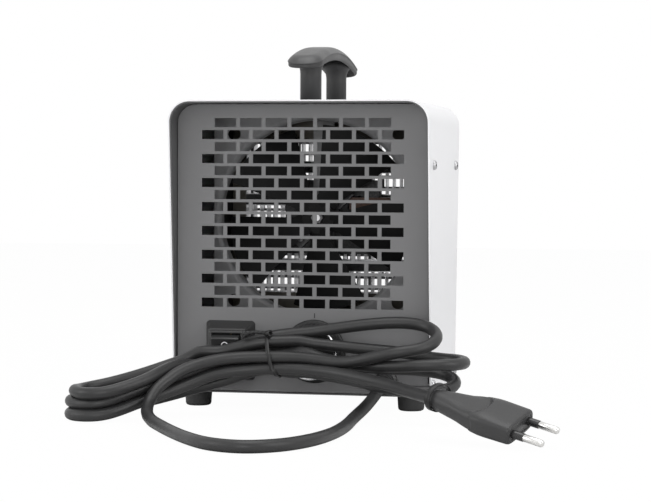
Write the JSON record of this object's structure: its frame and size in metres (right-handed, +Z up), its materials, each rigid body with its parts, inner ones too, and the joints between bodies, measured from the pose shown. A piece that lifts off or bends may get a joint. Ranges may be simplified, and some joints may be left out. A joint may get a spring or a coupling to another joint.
{
  "type": "ceramic space heater",
  "caption": "Portable ceramic fan heater: raked sheet-metal shell, brick-pattern grilles, axial fan, thermostat knob, rocker switch, carry handle and tied mains lead.",
  "frame": {"origin": "centre of the heater's footprint, on the plane the rubber feet stand on", "axes": "+Z up; -Y is the inlet side with the switch, the knob and the lead; +Y is the warm-air outlet; +X is to the right when facing the inlet side"},
  "size_m": [0.3536, 0.3881, 0.264],
  "materials": {
    "white_paint": "smooth white powder coat",
    "grey_paint": "fine-textured dark grey powder coat",
    "black_plastic": "satin moulded black",
    "gloss_black": "glossy moulded black",
    "black_rubber": "dull moulded rubber",
    "cord_rubber": "dull extruded sheath",
    "zinc_steel": "zinc-plated",
    "galvanised": "plain galvanised sheet",
    "fan_aluminium": "bright pressed aluminium",
    "chrome_trim": "polished",
    "laminations": "stacked steel sheets",
    "winding": "enamelled wire under tape",
    "ceramic_black": "fired PTC ceramic",
    "mica_frame": "heat-proof moulding",
    "brass_tabs": "stamped",
    "ivory_block": "moulded",
    "nickel_pins": "nickel-plated"
  },
  "bodies": {
    "case": {"shell": "white_paint", "base_plate": "grey_paint", "inlet_lining": "grey_paint", "outlet_lining": "grey_paint", "inlet_panel": "grey_paint", "outlet_panel": "grey_paint", "side_screws": "zinc_steel", "handle": "black_plastic", "handle_screws": "zinc_steel", "feet": "black_rubber", "foot_screws": "zinc_steel", "fan_plate": "galvanised", "duct": "galvanised", "duct_rivets": "zinc_steel", "motor_strap": "zinc_steel", "motor_core": "laminations", "motor_coil": "winding", "front_bearing": "zinc_steel", "rear_bearing": "zinc_steel", "motor_screws": "zinc_steel", "heater_frame": "mica_frame", "heater_fins": "fan_aluminium", "ceramic_bars": "ceramic_black", "heater_terminals": "brass_tabs", "thermostat": "galvanised", "thermostat_nut": "zinc_steel", "switch_hood": "black_plastic", "switch_body": "gloss_black", "switch_terminals": "brass_tabs", "terminal_block": "ivory_block", "gland": "black_plastic", "gland_nut": "black_plastic", "cord_lead": "cord_rubber", "cord_hank": "cord_rubber", "cord_tail": "cord_rubber", "hank_tie": "black_rubber", "plug_ring": "black_rubber", "plug_body": "black_plastic", "pin_sleeves": "black_plastic", "plug_pins": "nickel_pins"},
    "rocker": {"rocker": "gloss_black"},
    "knob": {"knob": "black_plastic", "knob_ring": "chrome_trim", "thermostat_shaft": "zinc_steel"},
    "fan": {"motor_shaft": "zinc_steel", "rotor": "laminations", "impeller": "black_plastic", "fan_nut": "zinc_steel"}
  },
  "joints": [
    {"name": "rocker_tilt", "type": "hinge", "parent": "case", "child": "rocker", "pos_m": [-0.0524, -0.074, 0.0415], "axis": [1, 0, 0], "range_deg": [-12, 0]},
    {"name": "knob_turn", "type": "hinge", "parent": "case", "child": "knob", "pos_m": [0.0097, -0.07, 0.042], "axis": [0, -1, 0], "range_deg": [0, 270]},
    {"name": "fan_spin", "type": "hinge", "parent": "case", "child": "fan", "pos_m": [0, 0, 0.137], "axis": [0, 1, 0], "continuous": true}
  ]
}
